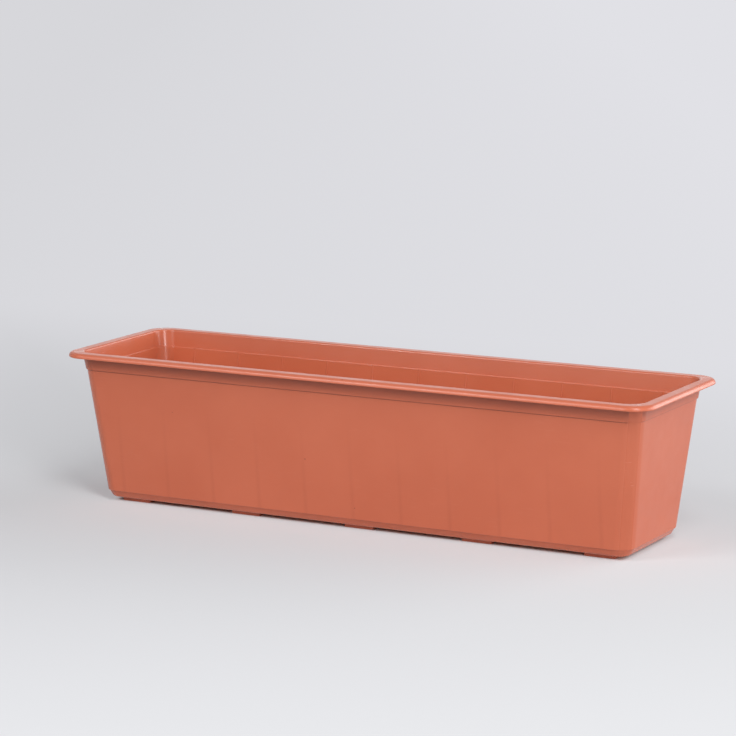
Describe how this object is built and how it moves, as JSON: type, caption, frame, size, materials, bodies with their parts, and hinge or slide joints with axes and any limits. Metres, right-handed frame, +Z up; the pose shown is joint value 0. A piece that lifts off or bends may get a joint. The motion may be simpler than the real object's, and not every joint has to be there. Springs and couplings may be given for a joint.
{
  "type": "window box planter",
  "caption": "Long tapered window box planter with a down-turned rim, inner stiffening ribs, raised feet and lift-out drain plugs.",
  "frame": {"origin": "on the floor under the middle of the box", "axes": "+X along the length, +Z up, -Y is the long side seen first"},
  "size_m": [0.6, 0.173, 0.145],
  "materials": {
    "trough_plastic": "satin injection-moulded polypropylene, terracotta colour",
    "plug_plastic": "satin injection-moulded polyethylene, terracotta colour"
  },
  "bodies": {
    "trough": {"trough": "trough_plastic"},
    "drain_plug_1": {"drain_plug_1": "plug_plastic"},
    "drain_plug_2": {"drain_plug_2": "plug_plastic"},
    "drain_plug_3": {"drain_plug_3": "plug_plastic"},
    "drain_plug_4": {"drain_plug_4": "plug_plastic"},
    "drain_plug_5": {"drain_plug_5": "plug_plastic"},
    "drain_plug_6": {"drain_plug_6": "plug_plastic"},
    "drain_plug_7": {"drain_plug_7": "plug_plastic"},
    "drain_plug_8": {"drain_plug_8": "plug_plastic"}
  },
  "joints": [
    {"name": "drain_plug_1_lift", "type": "slide", "parent": "trough", "child": "drain_plug_1", "axis": [0, 0, 1], "range_m": [0, 0.015]},
    {"name": "drain_plug_2_lift", "type": "slide", "parent": "trough", "child": "drain_plug_2", "axis": [0, 0, 1], "range_m": [0, 0.015]},
    {"name": "drain_plug_3_lift", "type": "slide", "parent": "trough", "child": "drain_plug_3", "axis": [0, 0, 1], "range_m": [0, 0.015]},
    {"name": "drain_plug_4_lift", "type": "slide", "parent": "trough", "child": "drain_plug_4", "axis": [0, 0, 1], "range_m": [0, 0.015]},
    {"name": "drain_plug_5_lift", "type": "slide", "parent": "trough", "child": "drain_plug_5", "axis": [0, 0, 1], "range_m": [0, 0.015]},
    {"name": "drain_plug_6_lift", "type": "slide", "parent": "trough", "child": "drain_plug_6", "axis": [0, 0, 1], "range_m": [0, 0.015]},
    {"name": "drain_plug_7_lift", "type": "slide", "parent": "trough", "child": "drain_plug_7", "axis": [0, 0, 1], "range_m": [0, 0.015]},
    {"name": "drain_plug_8_lift", "type": "slide", "parent": "trough", "child": "drain_plug_8", "axis": [0, 0, 1], "range_m": [0, 0.015]}
  ]
}
